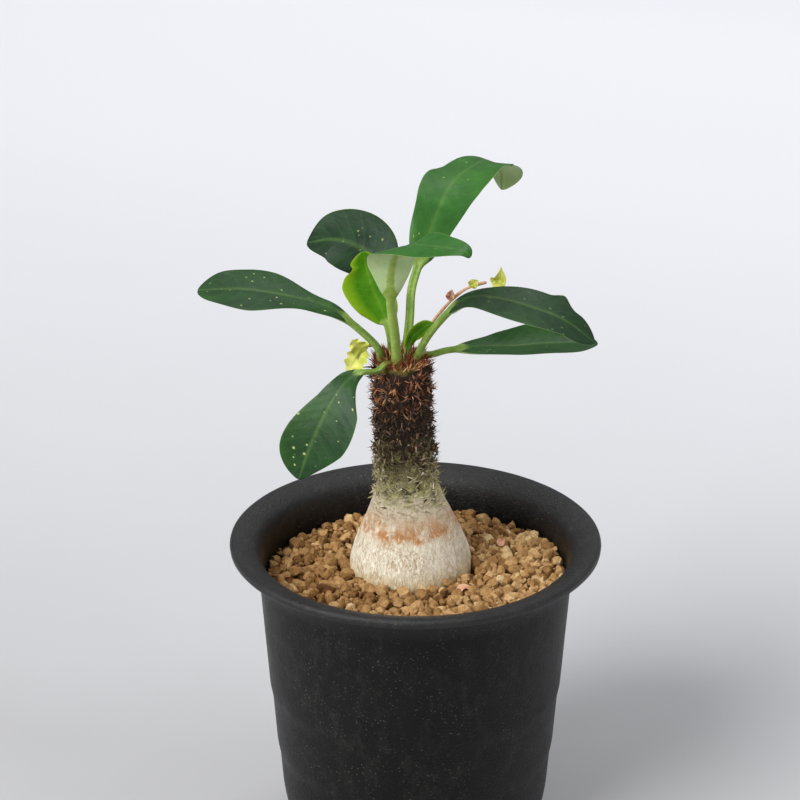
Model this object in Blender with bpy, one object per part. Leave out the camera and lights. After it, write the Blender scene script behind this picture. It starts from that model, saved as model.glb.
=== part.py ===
"""A young euphorbia with a swollen stem base, growing in a round nursery pot.

Metres, +Z up.  The origin is the middle of the pot's base, on the surface it stands on.
Every leaf, stalk and bract is its own object, set 0.3 mm clear of what it grows from.
"""

import math

import bmesh
import bpy
from mathutils import Vector

MM = 0.001
GAP = 0.0003            # clearance wherever two pieces meet

# pot
LIP_RADIUS = 0.0525     # outermost edge of the flared lip
POT_HEIGHT = 0.090      # foot to the crest of the lip
LIP_OVERHANG = 0.0080   # how far the lip stands out from the wall below it
POT_WALL = 0.0014
WALL_TAPER = 0.075      # metres of radius lost for each metre down the wall
STEP_DEPTH = 0.00045    # two shallow steps in the wall
HEEL_HEIGHT = 0.015     # the wall turns in faster below this height
HEEL_TURN = 0.0022
FLOOR_RECESS = 0.002
FLOOR_CORNER = 0.002    # chamfer where the floor meets the wall
FOOT_WIDTH = 0.004
PAD_RADIUS = 0.010
HOLE_RADIUS = 0.003
HOLE_COUNT = 8
POT_SIDES = 48

# soil
SOIL_DEPTH_BELOW_RIM = 0.0120
SOIL_SLOPE = 0.0012     # the right side lies higher than the left by this much each way
SOIL_MOUND = 0.0008
SOIL_SHOULDER = 0.0022  # the soil's edge falls away against the wall from here up

# stem
STEM_X = -0.0014        # where the stem leaves the soil
STEM_Y = 0.0060
STEM_LEAN = -0.0026     # sideways drift from the soil to the crown
STEM_EXPOSED = 0.0625   # soil to crown
STEM_RADIUS = 0.0089
CAUDEX_RADIUS = 0.0173
CAUDEX_HEIGHT = 0.0285  # height over which the swollen base narrows to the stem
CAUDEX_DEPTH = 0.0200   # the swollen base below the soil
ROOT_LENGTH = 0.0180
ROOT_RADIUS = 0.0030
STEM_SIDES = 28

# leaves and flower stalks
LEAF_LENGTH = 0.064     # the paths below are drawn for a leaf of this length
LEAF_WIDTH = 0.022
LEAF_THICKNESS = 0.0011
PETIOLE_RADIUS = 0.0015
STALK_RADIUS = 0.0006
BRACT_THICKNESS = 0.0005
LEAF_ROWS = 16
LEAF_SIDES = 10

PATH_UNIT = LEAF_LENGTH / 64
SOIL_TOP = POT_HEIGHT - SOIL_DEPTH_BELOW_RIM
CROWN = Vector((STEM_X + STEM_LEAN, STEM_Y, SOIL_TOP + STEM_EXPOSED))

# Where each petiole sits on the crown (shares of the stem's radius), how far above it (mm), its path
# (steps of PATH_UNIT from the seat), which way its upper side faces along the path, its width (a share
# of LEAF_WIDTH), where the blade starts along it, how far towards the tip it is widest, and the width
# of its left and right halves along the path.
LEAVES = {
    "leaf_left": {
        "seat": (-0.60, -0.19), "lift": 1.6,
        "path": [(-2, -2, 5.5), (-11, -2.5, 14), (-18, -2.5, 17.5), (-28, -2.5, 20), (-39, -2.5, 21.5),
                 (-50.5, -2.5, 21)],
        "facing": [(0.5, -0.4, 0.8), (0.2, -0.25, 0.9), (0, -0.12, 1)],
        "width": 1.0, "start": 0.26, "taper": 1.9, "stout": 1.0, "cup": 0.12,
        "left": [1, 0.8, 0.9, 1.1, 1.1], "right": [1, 0.6, 0.75, 0.95, 0.95],
    },
    "leaf_low_left": {
        "seat": (-0.49, -0.60), "lift": 1.8,
        "path": [(-2.5, -4, -0.5), (-7, -9, 1), (-11, -13, -0.5), (-15.5, -16, -6.5), (-20, -18, -16),
                 (-23.5, -19, -26.5)],
        "facing": [(0, -0.5, 0.8), (-0.3, -0.7, 0.6), (-0.25, -0.95, 0.2)],
        "width": 0.87, "start": 0.22, "taper": 1.55, "stout": 0.8, "cup": 0.15,
        "left": [1, 0.6, 1.45, 1.1, 0.5], "right": [1, 0.7, 0.65, 0.9, 1.2],
    },
    "leaf_back_left": {
        "seat": (-0.26, 0.60), "lift": 0.9,
        "path": [(-1, 2, 7), (-2, 5, 14), (-4, 9, 21.5), (-9, 13, 26), (-16.5, 16, 27.5), (-24.5, 17, 26)],
        "facing": [(-0.5, -0.6, 0.5), (-0.3, -0.6, 0.7), (0, -0.4, 0.9)],
        "width": 1.0, "start": 0.42, "taper": 1.2, "stout": 0.95, "cup": 0.2,
        "left": [1, 1, 1, 0.95, 0.95], "right": [1, 1, 1.15, 1.0, 0.95],
    },
    "leaf_front": {
        "seat": (-0.14, -0.42), "lift": 1.0,
        "path": [(-0.5, -3.5, 10), (-1.5, -7.5, 20.5), (-1.5, -11.5, 29.5), (0, -16.5, 37.5),
                 (4, -22.5, 41.5), (10, -27.5, 44), (15, -30.5, 45.3), (19, -32.5, 45.5)],
        "facing": [(0, 1, 0), (0, 0.9, 0.3), (0.1, -0.1, 1), (0.1, -0.3, 1)],
        "width": 0.75, "start": 0.35, "taper": 1.3, "stout": 1.1, "cup": 0.15,
        "left": [1, 0.9, 0.95, 1.2, 1.1], "right": [1, 0.9, 0.95, 1.2, 1.2],
    },
    "leaf_young": {
        "seat": (-0.30, 0.16), "lift": 0.6,
        "path": [(-0.5, 0.5, 6), (-2.5, 2.5, 13), (-5, 4.5, 18.5), (-7, 6.5, 24), (-8, 7.5, 29)],
        "facing": [(0, -1, 0.2), (0, -1, 0.1)],
        "width": 0.55, "start": 0.32, "taper": 1.5, "stout": 0.7, "cup": 0.2,
        "left": [1, 1, 1, 1, 1], "right": [1, 1, 1, 1, 1],
    },
    "leaf_tall": {
        "seat": (0.14, 0.51), "lift": 0.8,
        "path": [(1, 1.5, 10), (1.5, 4.5, 17.5), (3.5, 7.5, 24), (6, 10.5, 31), (8.5, 14.5, 36.5),
                 (11, 20.5, 41), (14.5, 27.5, 44), (18, 34.5, 44.5), (22, 40.5, 42.5), (27, 43, 39),
                 (27.5, 43.5, 33.5)],
        "facing": [(0, -1, 0.3), (0, -1, 0.2), (0, -0.9, 0.4), (-0.4, -0.3, 0.85), (0.2, 0.6, 0.6)],
        "width": 0.9, "start": 0.3, "taper": 1.1, "stout": 1.05, "cup": 0.12,
        "left": [1, 0.9, 0.85, 1, 1.1], "right": [1, 0.75, 0.85, 1, 1.2],
    },
    "leaf_right_upper": {
        "seat": (0.42, -0.19), "lift": 1.2,
        "path": [(3, -2.5, 7.5), (7.5, -4.5, 14.5), (12, -7.5, 20), (17, -10.5, 23), (24.5, -14.5, 23.5),
                 (32.5, -18.5, 22.5), (40.5, -21.5, 20), (48, -24.5, 15)],
        "facing": [(-0.5, -0.5, 0.7), (0, -0.2, 1), (0.15, -0.05, 1)],
        "width": 0.95, "start": 0.3, "taper": 1.3, "stout": 0.95, "cup": 0.1,
        "left": [1, 0.7, 0.6, 0.85, 1.0], "right": [1, 1, 1, 1, 1],
    },
    "leaf_right_lower": {
        "seat": (0.58, 0.21), "lift": 1.7,
        "path": [(3, 0, 0), (8, 1, 1), (17, 3, 1), (26.5, 5, 0.5), (36.5, 7, 0.5), (50, 10, -0.5)],
        "facing": [(0, -0.2, 0.9), (0, -0.15, 1)],
        "width": 1.0, "start": 0.2, "taper": 1.4, "stout": 0.85, "cup": 0.3,
        "left": [1, 0.6, 0.6, 0.7, 0.8], "right": [1, 0.9, 0.95, 1, 1],
    },
    "leaf_bud": {
        "seat": (0.10, 0.02), "lift": 0.7,
        "path": [(1.5, -1, 6.5), (3.3, -1.5, 9), (5.5, -2, 11), (8, -2.5, 12)],
        "facing": [(0.3, -0.9, 0.3), (0.4, -0.8, 0.4)],
        "width": 0.20, "start": 0.25, "taper": 1.3, "stout": 0.6, "cup": 0.3,
        "left": [1, 1, 1, 1, 1], "right": [1, 1, 1, 1, 1],
    },
}

UNDER_PETIOLE = (0, 0.6, -0.8)    # which way a stalk keeps clear of the petiole above it

# Flower stalks: seat and lift as for a leaf, then the stalk's path,
# from its seat or from under the leaf it names.
STALKS = {
    "left_flower_stalk": {
        "seat": (-0.65, 0.30), "lift": 0.8, "under": "leaf_left",
        "path": [(-0.445, 0.961, 2.4), (-2.445, -0.039, 4.9), (-3.945, -1.039, 5.4)],
    },
    "right_flower_stalk": {
        "seat": (0.49, 0.60), "lift": 0.8,
        "path": [(3, -3, 8.5), (7.5, -5, 15.5), (11.5, -7, 20.5), (15, -8, 23), (19, -9, 24.5)],
    },
}

# Bracts: the stalk they belong to, their path from where that stalk's path is measured,
# facing and half width in mm.
BRACTS = {
    "left_bract_upper": ("left_flower_stalk",
                         [(-5.445, -2.139, 5.3), (-6.645, -3.339, 6.4), (-8.245, -4.139, 7.8)],
                         (-0.3, -0.9, 0.4), 2.2),
    "left_bract_lower": ("left_flower_stalk",
                         [(-5.345, -1.739, 4.6), (-7.045, -2.739, 1.6), (-9.445, -3.139, -2.2)],
                         (-0.3, -0.9, 0.1), 2.9),
    "right_bract_low": ("right_flower_stalk", [(8.6, -7.2, 18.6), (9.2, -7.8, 20.4), (9.5, -8.2, 22.0)],
                        (-0.2, -1.0, 0.2), 1.3),
    "right_bract_middle": ("right_flower_stalk",
                           [(14.4, -9.4, 23.4), (15.4, -9.9, 24.5), (16.6, -10.1, 25.4)],
                           (0.1, -1.0, 0.3), 1.5),
    "right_bract_pointed": ("right_flower_stalk",
                            [(20.2, -9.2, 25.4), (21.2, -9.4, 27.0), (22.4, -9.4, 28.8)],
                            (0.2, -1.0, 0.1), 1.6),
    "right_bract_end": ("right_flower_stalk", [(20.4, -9.6, 23.9), (22.2, -9.8, 24.2), (24.2, -9.8, 25.0)],
                        (0.0, -1.0, 0.4), 1.3),
}

# Dry bracts lying on the soil: where they lie and which way they point (shares of the soil's radius).
FALLEN = {
    "fallen_bract_front": ((0.32, -0.30), (0.9, 0.3)),
    "fallen_bract_right": ((0.58, 0.36), (0.2, 1.0)),
}
FALLEN_HALF_LENGTH = 0.0022
FALLEN_HALF_WIDTH = 0.0011

COLOURS = {
    "pot": ((0.018, 0.017, 0.018), 0.48),
    "soil": ((0.42, 0.29, 0.16), 0.9),
    "stem": ((0.23, 0.15, 0.09), 0.85),
    "leaf": ((0.035, 0.13, 0.045), 0.38),
    "young": ((0.34, 0.52, 0.03), 0.45),
    "stalk": ((0.42, 0.20, 0.14), 0.55),
    "bract": ((0.70, 0.66, 0.16), 0.55),
    "dry": ((0.58, 0.36, 0.24), 0.8),
}


def clear_scene():
    for obj in list(bpy.data.objects):
        bpy.data.objects.remove(obj, do_unlink=True)


def material(name, finish):
    colour, roughness = COLOURS[finish]
    made = bpy.data.materials.new(name)
    made.use_nodes = True
    shader = made.node_tree.nodes["Principled BSDF"]
    shader.inputs["Base Color"].default_value = (*colour, 1)
    shader.inputs["Roughness"].default_value = roughness
    return made


def add_object(name, bm, finish, smooth_below=50):
    bmesh.ops.recalc_face_normals(bm, faces=bm.faces)
    mesh = bpy.data.meshes.new(name)
    bm.to_mesh(mesh)
    bm.free()
    mesh.shade_smooth()
    mesh.set_sharp_from_angle(angle=math.radians(smooth_below))
    mesh.materials.append(material(name, finish))
    obj = bpy.data.objects.new(name, mesh)
    bpy.context.scene.collection.objects.link(obj)
    return obj


def skin(rings):
    """A closed body over a list of rings of points, with a flat cap at each end."""
    bm = bmesh.new()
    loops = [[bm.verts.new(point) for point in ring] for ring in rings]
    for lower, upper in zip(loops, loops[1:]):
        count = len(lower)
        for i in range(count):
            j = (i + 1) % count
            bm.faces.new((lower[i], lower[j], upper[j], upper[i]))
    bm.faces.new(loops[0][::-1])
    bm.faces.new(loops[-1])
    return bm


def circle(centre, radius, height, sides):
    turns = (2 * math.pi * i / sides for i in range(sides))
    return [Vector((centre[0] + radius * math.cos(a), centre[1] + radius * math.sin(a), height))
            for a in turns]


def ease(value):
    value = min(1.0, max(0.0, value))
    return value * value * (3 - 2 * value)


def along(values, share):
    """Reads a short list of numbers or vectors as one evenly spaced line."""
    place = share * (len(values) - 1)
    index = min(int(place), len(values) - 2)
    rest = place - index
    first, second = values[index], values[index + 1]
    if isinstance(first, (int, float)):
        return first + (second - first) * rest
    return Vector(first).lerp(Vector(second), rest)


def smooth_path(points, count):
    """A Catmull-Rom curve through the points, read at evenly spaced places."""
    ends = [2 * points[0] - points[1]] + points + [2 * points[-1] - points[-2]]
    fine = []
    for a, b, c, d in zip(ends, ends[1:], ends[2:], ends[3:]):
        for step in range(20):
            t = step / 20
            fine.append(0.5 * (2 * b + (c - a) * t + (2 * a - 5 * b + 4 * c - d) * t ** 2
                               + (3 * b - a - 3 * c + d) * t ** 3))
    fine.append(points[-1])
    travelled = [0.0]
    for before, after in zip(fine, fine[1:]):
        travelled.append(travelled[-1] + (after - before).length)
    path = []
    index = 0
    for i in range(count):
        target = travelled[-1] * i / (count - 1)
        while index < len(fine) - 2 and travelled[index + 1] < target:
            index += 1
        span = travelled[index + 1] - travelled[index]
        path.append(fine[index].lerp(fine[index + 1], (target - travelled[index]) / span))
    return path


# ---- pot and soil


def neck_height():
    return POT_HEIGHT - 0.009


def wall_radius(height):
    """Outside radius of the pot's wall: a straight taper, two shallow steps and a turned-in heel."""
    neck = neck_height()
    radius = LIP_RADIUS - LIP_OVERHANG - WALL_TAPER * (neck - height)
    radius -= STEP_DEPTH * ease((0.52 * neck + 0.0035 - height) / 0.004)
    radius -= STEP_DEPTH * ease((0.29 * neck + 0.0035 - height) / 0.004)
    return radius - HEEL_TURN * max(0.0, 1 - height / HEEL_HEIGHT) ** 2


def inner_radius(height):
    return wall_radius(height) - POT_WALL


def floor_height():
    return FLOOR_RECESS + POT_WALL


def lip_section():
    """From the inner wall over the crest of the lip and back to the outer wall."""
    neck_in = inner_radius(neck_height())
    neck_out = wall_radius(neck_height())
    reach_in = LIP_RADIUS - neck_in
    reach_out = LIP_RADIUS - neck_out
    inside = [(0.03, 8.0), (0.13, 5.2), (0.32, 2.5), (0.50, 0.8),
              (0.66, 0.0), (0.82, 0.1), (0.95, 0.6), (1.0, 1.3)]
    under = [(0.98, 2.3), (0.88, 3.0), (0.60, 3.4), (0.30, 4.1), (0.10, 5.6)]
    points = [(neck_in + across * reach_in, POT_HEIGHT - down * MM) for across, down in inside]
    return points + [(neck_out + across * reach_out, POT_HEIGHT - down * MM) for across, down in under]


def wall_heights():
    """Where the wall's section has a point, on both faces, from the floor's corner to the neck."""
    shares = (0.20, 0.28, 0.33, 0.51, 0.56, 0.75, 0.93)
    return [floor_height() + FLOOR_CORNER] + [share * neck_height() for share in shares]


def pot_profile():
    """(radius, height) from the middle of the floor, up and over the lip, and down to the centre pad."""
    floor = floor_height()
    inside = [(PAD_RADIUS / 2, floor), (inner_radius(floor) - FLOOR_CORNER, floor)]
    inside += [(inner_radius(height), height) for height in wall_heights()]
    outside = [(wall_radius(height), height) for height in reversed(wall_heights())]
    foot_out = wall_radius(0)
    foot_in = foot_out - FOOT_WIDTH
    outside += [(foot_out + 0.0002, 0.0012), (foot_out - 0.0008, 0), (foot_in, 0)]
    outside += [(foot_in - 0.001, FLOOR_RECESS), (PAD_RADIUS + 0.001, FLOOR_RECESS), (PAD_RADIUS, 0)]
    return inside + lip_section() + outside


def drain_cutters(pot):
    """Round drainage holes between the centre pad and the foot ring."""
    centre = (PAD_RADIUS + wall_radius(0) - FOOT_WIDTH) / 2
    for i in range(HOLE_COUNT):
        angle = 2 * math.pi * (i + 0.5) / HOLE_COUNT
        place = (centre * math.cos(angle), centre * math.sin(angle))
        rings = [circle(place, HOLE_RADIUS, height, 12) for height in (-0.002, floor_height() + 0.002)]
        cutter = add_object(f"drain_cutter_{i + 1}", skin(rings), "pot")
        cutter.hide_render = True
        cutter.display_type = "WIRE"
        cut = pot.modifiers.new(f"drain_{i + 1}", "BOOLEAN")
        cut.object = cutter
        cut.solver = "EXACT"


def make_pot():
    rings = [circle((0, 0), radius, height, POT_SIDES) for radius, height in pot_profile()]
    pot = add_object("pot", skin(rings), "pot", 40)
    drain_cutters(pot)


def soil_height(x, y):
    radius = inner_radius(SOIL_TOP)
    across = min(1.0, math.hypot(x, y) / radius)
    return SOIL_TOP + SOIL_SLOPE * x / radius + SOIL_MOUND * (1 - across ** 2)


def soil_profile():
    """(radius, height) up the side of the soil, just clear of the pot's floor and inner wall."""
    floor = floor_height()
    shoulder = SOIL_TOP - SOIL_SHOULDER
    corner = floor + FLOOR_CORNER
    side = [(PAD_RADIUS, floor + GAP), (inner_radius(floor) - FLOOR_CORNER - GAP, floor + GAP)]
    side.append((inner_radius(corner) - GAP, corner + GAP))
    side += [(inner_radius(height) - GAP, height)
             for height in wall_heights()[1:] if height < shoulder - 0.001]
    return side + [(inner_radius(shoulder) - GAP, shoulder)]


def make_soil():
    rings = [circle((0, 0), radius, height, POT_SIDES) for radius, height in soil_profile()]
    for share in (0.985, 0.85, 0.68, 0.48, 0.10):
        ring = circle((0, 0), (inner_radius(SOIL_TOP) - GAP) * share, 0, POT_SIDES)
        for point in ring:
            point.z = soil_height(point.x, point.y)
        rings.append(ring)
    soil = add_object("soil", skin(rings), "soil")
    socket = add_object("root_socket", skin(stem_rings(GAP, SOIL_TOP + CAUDEX_HEIGHT)), "soil")
    socket.hide_render = True
    socket.display_type = "WIRE"
    cut = soil.modifiers.new("root_socket", "BOOLEAN")
    cut.object = socket
    cut.solver = "EXACT"


# ---- stem


def stem_radius(height):
    above = height - SOIL_TOP
    if above >= 0:
        return STEM_RADIUS + (CAUDEX_RADIUS - STEM_RADIUS) * ease(1 - above / CAUDEX_HEIGHT)
    if above > -CAUDEX_DEPTH:
        drop = -above / CAUDEX_DEPTH
        return ROOT_RADIUS + (CAUDEX_RADIUS - ROOT_RADIUS) * math.sqrt(1 - drop ** 2)
    return ROOT_RADIUS * (1 - 0.6 * (-above - CAUDEX_DEPTH) / ROOT_LENGTH)


def stem_centre(height):
    share = ease((height - SOIL_TOP) / STEM_EXPOSED)
    return (STEM_X + STEM_LEAN * share, STEM_Y)


def stem_rings(grow=0.0, top=None):
    """Rings from the root's tip up; grow and top make the clear socket for it in the soil."""
    lowest = SOIL_TOP - CAUDEX_DEPTH - ROOT_LENGTH
    root = [lowest + ROOT_LENGTH * share for share in (0, 0.5, 1)]
    swollen = [SOIL_TOP - CAUDEX_DEPTH * share for share in (0.97, 0.85, 0.6, 0.3)]
    narrowing = [SOIL_TOP + CAUDEX_HEIGHT * share for share in (0, 0.2, 0.4, 0.6, 0.8, 1)]
    shaft = [SOIL_TOP + STEM_EXPOSED * share for share in (0.6, 0.78, 0.95)]
    heights = [height for height in root + swollen + narrowing + shaft
               if top is None or height <= top + GAP]
    rings = []
    for height in heights:
        lowered = height - (grow if height < SOIL_TOP else 0)
        rings.append(circle(stem_centre(height), stem_radius(height) + grow, lowered, STEM_SIDES))
    if top is None:
        for share, down in ((0.97, 0.0014), (0.86, 0.0005), (0.5, 0.0)):
            rings.append(circle(CROWN, STEM_RADIUS * share, CROWN.z - down, STEM_SIDES))
    return rings


def make_stem():
    add_object("stem", skin(stem_rings()), "stem")


# ---- leaves, stalks and bracts


def seat_point(spec):
    return CROWN + Vector((spec["seat"][0] * STEM_RADIUS, spec["seat"][1] * STEM_RADIUS, spec["lift"] * MM))


def path_start(spec):
    """Where a path's steps are measured from: its own seat, or a point under the petiole above it."""
    if "under" in spec:
        return seat_point(LEAVES[spec["under"]]) + Vector(UNDER_PETIOLE) * PETIOLE_RADIUS
    return seat_point(spec)


def path_from(start, steps):
    return [start + Vector(step) * PATH_UNIT for step in steps]


def blade_rings(points, facings, half_width, start, taper, stalk_radius, thickness, cup,
                left, right, rows, sides):
    """Oval rings along a path: a round stalk that widens into a thin blade and closes at the tip."""
    path = smooth_path(points, rows)
    rings = []
    for i, centre in enumerate(path):
        share = i / (rows - 1)
        before, after = path[max(0, i - 1)], path[min(rows - 1, i + 1)]
        forward = (after - before).normalized()
        facing = along(facings, share)
        facing = (facing - forward * facing.dot(forward)).normalized()
        side = forward.cross(facing)
        grown = min(1.0, max(0.0, (share - start) / (1 - start)))
        blade = half_width * math.sin(math.pi * min(grown, 0.985) ** taper) ** 0.65
        half = max(blade + stalk_radius * (1 - ease(grown * 2.5)), 0.12 * half_width)
        deep = stalk_radius + (thickness / 2 - stalk_radius) * ease(grown * 2)
        ring = []
        for k in range(sides):
            angle = 2 * math.pi * k / sides
            out = math.cos(angle)
            scale = along(left if out < 0 else right, share)
            scale = 1 + (scale - 1) * ease(grown * 4)
            lift = cup * abs(out) ** 1.6 * half * ease(grown * 3)
            ring.append(centre + side * (out * half * scale) + facing * (lift + deep * math.sin(angle)))
        rings.append(ring)
    return rings


def make_leaf(name, spec):
    seat = seat_point(spec)
    rings = blade_rings(
        [seat] + path_from(seat, spec["path"]), spec["facing"], spec["width"] * LEAF_WIDTH / 2,
        spec["start"],
        spec["taper"], spec["stout"] * PETIOLE_RADIUS, LEAF_THICKNESS, spec["cup"],
        spec["left"], spec["right"],
        LEAF_ROWS, LEAF_SIDES)
    add_object(name, skin(rings), "young" if name in ("leaf_young", "leaf_bud") else "leaf")


def make_stalk(name, spec):
    seat = seat_point(spec)
    curve = bpy.data.curves.new(name, "CURVE")
    curve.dimensions = "3D"
    curve.bevel_depth = STALK_RADIUS
    curve.bevel_resolution = 1
    curve.use_fill_caps = True
    line = curve.splines.new("POLY")
    points = smooth_path([seat] + path_from(path_start(spec), spec["path"]), 4 + 2 * len(spec["path"]))
    line.points.add(len(points) - 1)
    for target, point in zip(line.points, points):
        target.co = (*point, 1)
    curve.materials.append(material(name, "stalk"))
    bpy.context.scene.collection.objects.link(bpy.data.objects.new(name, curve))


def make_bract(name, stalk, steps, facing, half_width):
    points = path_from(path_start(STALKS[stalk]), steps)
    rings = blade_rings(points, [facing, facing], half_width * PATH_UNIT, 0, 0.9, BRACT_THICKNESS / 2,
                        BRACT_THICKNESS, 0.25, [1, 1], [1, 1], 6, 8)
    add_object(name, skin(rings), "bract")


def make_fallen_bract(name, place, heading):
    reach = inner_radius(SOIL_TOP)
    middle = Vector((place[0] * reach, place[1] * reach, 0))
    forward = Vector((*heading, 0)).normalized()
    ends = [middle + forward * FALLEN_HALF_LENGTH * share for share in (-1, 0, 1)]
    rest = max(soil_height(point.x, point.y) for point in ends) + GAP + BRACT_THICKNESS
    for point in ends:
        point.z = rest
    rings = blade_rings(ends, [(0, 0, 1), (0, 0, 1)], FALLEN_HALF_WIDTH, 0, 0.9, BRACT_THICKNESS / 2,
                        BRACT_THICKNESS, 0.3, [1, 1], [1, 1], 6, 8)
    add_object(name, skin(rings), "dry")


def main():
    clear_scene()
    make_pot()
    make_soil()
    make_stem()
    for name, spec in LEAVES.items():
        make_leaf(name, spec)
    for name, spec in STALKS.items():
        make_stalk(name, spec)
    for name, (stalk, steps, facing, half_width) in BRACTS.items():
        make_bract(name, stalk, steps, facing, half_width)
    for name, (place, heading) in FALLEN.items():
        make_fallen_bract(name, place, heading)


main()
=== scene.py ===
import math
import random

import bpy
import numpy as np
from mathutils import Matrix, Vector, noise


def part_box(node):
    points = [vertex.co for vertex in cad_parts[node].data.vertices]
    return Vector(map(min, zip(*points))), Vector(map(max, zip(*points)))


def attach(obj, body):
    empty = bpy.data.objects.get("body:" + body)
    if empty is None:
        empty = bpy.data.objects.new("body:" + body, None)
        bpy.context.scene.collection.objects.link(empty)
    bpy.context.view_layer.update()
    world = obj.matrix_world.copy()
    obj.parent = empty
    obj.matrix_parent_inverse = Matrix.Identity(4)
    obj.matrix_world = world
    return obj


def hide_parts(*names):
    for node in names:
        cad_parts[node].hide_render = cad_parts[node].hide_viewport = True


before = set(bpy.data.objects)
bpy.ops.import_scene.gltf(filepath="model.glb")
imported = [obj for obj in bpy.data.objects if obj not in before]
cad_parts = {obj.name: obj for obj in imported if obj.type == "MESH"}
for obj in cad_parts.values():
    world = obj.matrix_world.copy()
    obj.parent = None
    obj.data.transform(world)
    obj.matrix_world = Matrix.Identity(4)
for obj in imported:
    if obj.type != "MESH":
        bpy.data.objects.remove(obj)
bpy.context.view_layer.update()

mm = 0.001
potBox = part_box("pot")
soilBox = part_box("soil")
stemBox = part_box("stem")
rimHeight = potBox[1][2]
rimRadius = (potBox[1][0] - potBox[0][0]) / 2
soilLevel = 0.078
crownHeight = stemBox[1][2]
crown = Vector((-0.0040, 0.0060, crownHeight))


# working on one object at a time

def selectNone():
    if bpy.context.mode != "OBJECT":
        bpy.ops.object.mode_set(mode="OBJECT")
    bpy.ops.object.select_all(action="DESELECT")


def pick(obj):
    selectNone()
    obj.select_set(True)
    bpy.context.view_layer.objects.active = obj


def rename(name):
    obj = bpy.context.active_object
    obj.name = name
    obj.data.name = name
    return obj


def editAll():
    bpy.ops.object.mode_set(mode="EDIT")
    bpy.ops.mesh.select_all(action="SELECT")


def applyAll(obj):
    pick(obj)
    for modifier in list(obj.modifiers):
        bpy.ops.object.modifier_apply(modifier=modifier.name)


def subdivide(obj, levels):
    modifier = obj.modifiers.new("smooth", "SUBSURF")
    modifier.levels = levels
    modifier.render_levels = levels
    applyAll(obj)


def addObject(name, data):
    obj = bpy.data.objects.new(name, data)
    bpy.context.scene.collection.objects.link(obj)
    return obj


def meshFrom(name, points, faces):
    mesh = bpy.data.meshes.new(name)
    mesh.from_pydata(points, [], faces)
    return addObject(name, mesh)


def coords(obj):
    flat = np.empty(len(obj.data.vertices) * 3)
    obj.data.vertices.foreach_get("co", flat)
    return flat.reshape(-1, 3)


def setCoords(obj, points):
    obj.data.vertices.foreach_set("co", np.ascontiguousarray(points, dtype=float).ravel())
    obj.data.update()


def setAttribute(obj, name, values):
    values = np.asarray(values, dtype=float)
    layer = obj.data.attributes.new(name, "FLOAT" if values.ndim == 1 else "FLOAT_VECTOR", "POINT")
    layer.data.foreach_set("value" if values.ndim == 1 else "vector", values.ravel())


def faceOut(obj):
    pick(obj)
    editAll()
    bpy.ops.mesh.normals_make_consistent(inside=False)
    bpy.ops.object.mode_set(mode="OBJECT")


def finishPiece(obj, material, slot, *nodes, smoothBelow=60):
    obj.data.materials.clear()
    obj.data.materials.append(material)
    pick(obj)
    bpy.ops.object.shade_smooth_by_angle(angle=math.radians(smoothBelow))
    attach(obj, "root")
    if nodes:
        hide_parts(*nodes)


def unit(vectors):   # one vector, or each of a list, made one long
    if vectors.ndim == 1:
        return vectors / np.linalg.norm(vectors)
    return vectors / np.linalg.norm(vectors, axis=1)[:, None]


def blend(low, high, value):   # 0 below low, 1 above high, eased between
    share = np.clip((np.asarray(value, dtype=float) - low) / (high - low), 0, 1)
    return share * share * (3 - 2 * share)


def roughField(points, scale, seed=0.0):   # one smooth noise value for each point
    return np.array([noise.noise(Vector((x * scale + seed, y * scale - seed, z * scale + 3.1 * seed)))
                     for x, y, z in points])


# materials: newMaterial() starts one, and the shorthands below add nodes to the one started last

making = {}   # the node tree and shader being worked on


def tint(red, green, blue):   # a colour as a paint program gives it, made linear
    shares = [c / 255 for c in (red, green, blue)]
    return (*[s / 12.92 if s <= 0.04 else ((s + 0.055) / 1.055) ** 2.4 for s in shares], 1.0)


def newMaterial(name, **settings):
    material = bpy.data.materials.new(name)
    material.use_nodes = True
    making["tree"] = material.node_tree
    making["shader"] = material.node_tree.nodes["Principled BSDF"]
    for socket, value in settings.items():
        making["shader"].inputs[socket.replace("_", " ")].default_value = value
    return material


def put(kind, inputs, **settings):   # adds a node, and fills or wires its inputs
    made = making["tree"].nodes.new(kind)
    for key, value in settings.items():
        setattr(made, key, value)
    for key, value in inputs.items():
        if isinstance(value, bpy.types.NodeSocket):
            making["tree"].links.new(value, made.inputs[key])
        else:
            made.inputs[key].default_value = value
    return made


def wire(output, socket):   # into the shader
    making["tree"].links.new(output, making["shader"].inputs[socket])


def objectPlace(stretch=(1, 1, 1)):
    place = put("ShaderNodeTexCoord", {}).outputs["Object"]
    return put("ShaderNodeMapping", {"Vector": place, "Scale": stretch}).outputs["Vector"]


def partOf(vector, axis):
    return put("ShaderNodeSeparateXYZ", {"Vector": vector}).outputs[axis]


def attribute(name):
    return put("ShaderNodeAttribute", {}, attribute_name=name).outputs["Fac"]


def noiseOf(place, scale, detail=4.0, roughness=0.55, distortion=0.0):
    return put("ShaderNodeTexNoise", {"Vector": place, "Scale": scale, "Detail": detail,
               "Roughness": roughness, "Distortion": distortion}).outputs["Fac"]


def cellsOf(place, scale, feature="F1"):
    made = put("ShaderNodeTexVoronoi", {"Vector": place, "Scale": scale}, feature=feature)
    return made.outputs["Distance"]


def ramp(value, stops):   # stops: (place, amount or colour)
    made = put("ShaderNodeValToRGB", {"Fac": value})
    band = made.color_ramp
    while len(band.elements) < len(stops):
        band.elements.new(0.5)
    for element, (position, colour) in zip(band.elements, stops):
        element.position = position
        element.color = tint(*colour) if isinstance(colour, tuple) else (colour, colour, colour, 1)
    return made.outputs["Color"]


def fade(value, low, high, first=0.0, last=1.0):   # first below low, last above high
    return ramp(value, [(low, first), (high, last)])


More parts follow.
